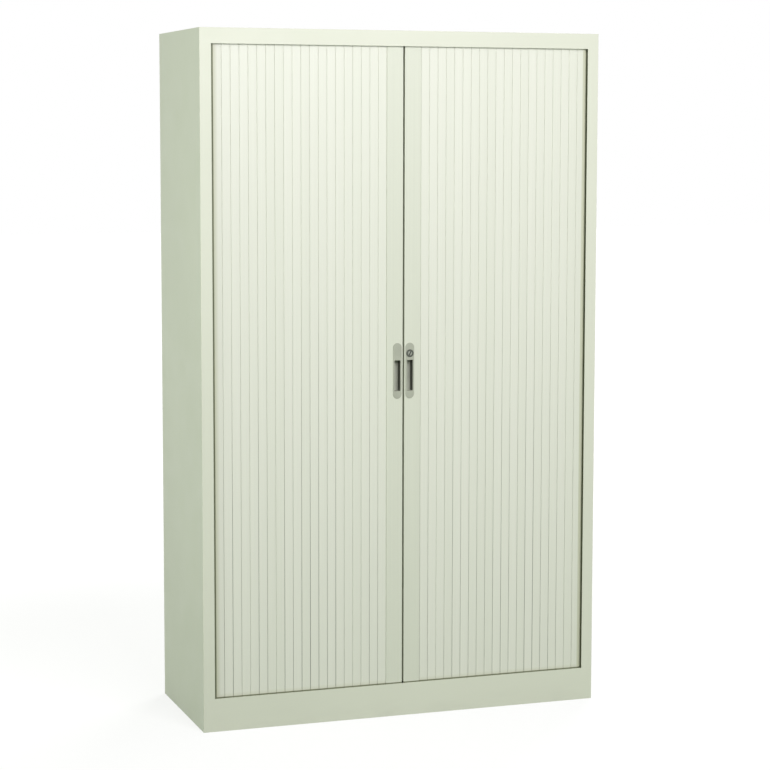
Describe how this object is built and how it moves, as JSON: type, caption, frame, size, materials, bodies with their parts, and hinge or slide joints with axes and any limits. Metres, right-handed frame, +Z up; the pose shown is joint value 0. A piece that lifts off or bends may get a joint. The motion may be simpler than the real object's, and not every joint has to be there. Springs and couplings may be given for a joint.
{
  "type": "tambour cupboard",
  "caption": "Tall steel office cupboard with two side-opening tambour doors, recessed pull handles, a cam lock, adjustable shelves and levelling feet.",
  "frame": {"origin": "middle of the footprint, on the floor", "axes": "+X to the right as seen from the front, +Y from the doors to the back, +Z up"},
  "size_m": [1.2, 0.47, 1.98],
  "materials": {
    "carcass_paint": "pale grey-green powder coat, fine texture, satin",
    "inner_paint": "the same powder coat on the inner panels and shelves",
    "slat_plastic": "extruded PVC, satin, faint draw lines along the slat",
    "stile_plastic": "extruded, satin",
    "handle_plastic": "moulded, fine spark texture",
    "track_plastic": "extruded, smooth",
    "shoe_plastic": "moulded nylon",
    "plug_plastic": "moulded",
    "foot_plastic": "moulded pad on a zinc-plated stud",
    "stop_rubber": "moulded",
    "zinc_steel": "bright zinc plate",
    "lock_metal": "nickel-plated die casting, worn satin"
  },
  "bodies": {
    "carcass": {"left_side_panel": "carcass_paint", "right_side_panel": "carcass_paint", "top_panel": "carcass_paint", "plinth": "carcass_paint", "back_panel": "carcass_paint", "base_panel": "carcass_paint", "ceiling_panel": "carcass_paint", "left_inner_side": "inner_paint", "right_inner_side": "inner_paint", "false_back": "inner_paint", "shelf_1": "inner_paint", "shelf_2": "inner_paint", "shelf_3": "inner_paint", "shelf_4": "inner_paint", "bottom_front_track": "track_plastic", "bottom_left_front_corner": "track_plastic", "bottom_left_rear_corner": "track_plastic", "bottom_left_side_track": "track_plastic", "bottom_left_tail_track": "track_plastic", "bottom_right_front_corner": "track_plastic", "bottom_right_rear_corner": "track_plastic", "bottom_right_side_track": "track_plastic", "bottom_right_tail_track": "track_plastic", "top_front_track": "track_plastic", "top_left_front_corner": "track_plastic", "top_left_rear_corner": "track_plastic", "top_left_side_track": "track_plastic", "top_left_tail_track": "track_plastic", "top_right_front_corner": "track_plastic", "top_right_rear_corner": "track_plastic", "top_right_side_track": "track_plastic", "top_right_tail_track": "track_plastic", "centre_stops": "stop_rubber", "end_stops": "stop_rubber", "access_plugs": "plug_plastic", "bottom_track_screws": "zinc_steel", "top_track_screws": "zinc_steel", "shelf_clips": "zinc_steel", "foot_brackets": "zinc_steel", "left_slats": "slat_plastic", "right_slats": "slat_plastic"},
    "left_door": {"left_stile": "stile_plastic", "left_stile_shoes": "shoe_plastic", "left_handle": "handle_plastic", "lock_keeper": "lock_metal", "keeper_screws": "zinc_steel"},
    "right_door": {"right_stile": "stile_plastic", "right_stile_shoes": "shoe_plastic", "right_handle": "handle_plastic", "lock_housing": "lock_metal", "lock_nut": "lock_metal"},
    "lock_cylinder": {"lock_plug": "lock_metal", "lock_cam": "lock_metal", "cam_screw": "zinc_steel"},
    "front_left_foot_body": {"front_left_foot": "foot_plastic"},
    "front_right_foot_body": {"front_right_foot": "foot_plastic"},
    "rear_left_foot_body": {"rear_left_foot": "foot_plastic"},
    "rear_right_foot_body": {"rear_right_foot": "foot_plastic"}
  },
  "joints": [
    {"name": "left_door_slide", "type": "slide", "parent": "carcass", "child": "left_door", "axis": [-1, 0, 0], "range_m": [0, 0.51], "deforming": ["left_slats"]},
    {"name": "right_door_slide", "type": "slide", "parent": "carcass", "child": "right_door", "axis": [1, 0, 0], "range_m": [0, 0.51], "deforming": ["right_slats"]},
    {"name": "lock_turn", "type": "hinge", "parent": "right_door", "child": "lock_cylinder", "pos_m": [0.019, -0.2206, 1.061], "axis": [0, -1, 0], "range_deg": [0, 90]},
    {"name": "front_left_foot_screw", "type": "slide", "parent": "carcass", "child": "front_left_foot_body", "axis": [0, 0, -1], "range_m": [0, 0.015]},
    {"name": "front_right_foot_screw", "type": "slide", "parent": "carcass", "child": "front_right_foot_body", "axis": [0, 0, -1], "range_m": [0, 0.015]},
    {"name": "rear_left_foot_screw", "type": "slide", "parent": "carcass", "child": "rear_left_foot_body", "axis": [0, 0, -1], "range_m": [0, 0.015]},
    {"name": "rear_right_foot_screw", "type": "slide", "parent": "carcass", "child": "rear_right_foot_body", "axis": [0, 0, -1], "range_m": [0, 0.015]}
  ]
}
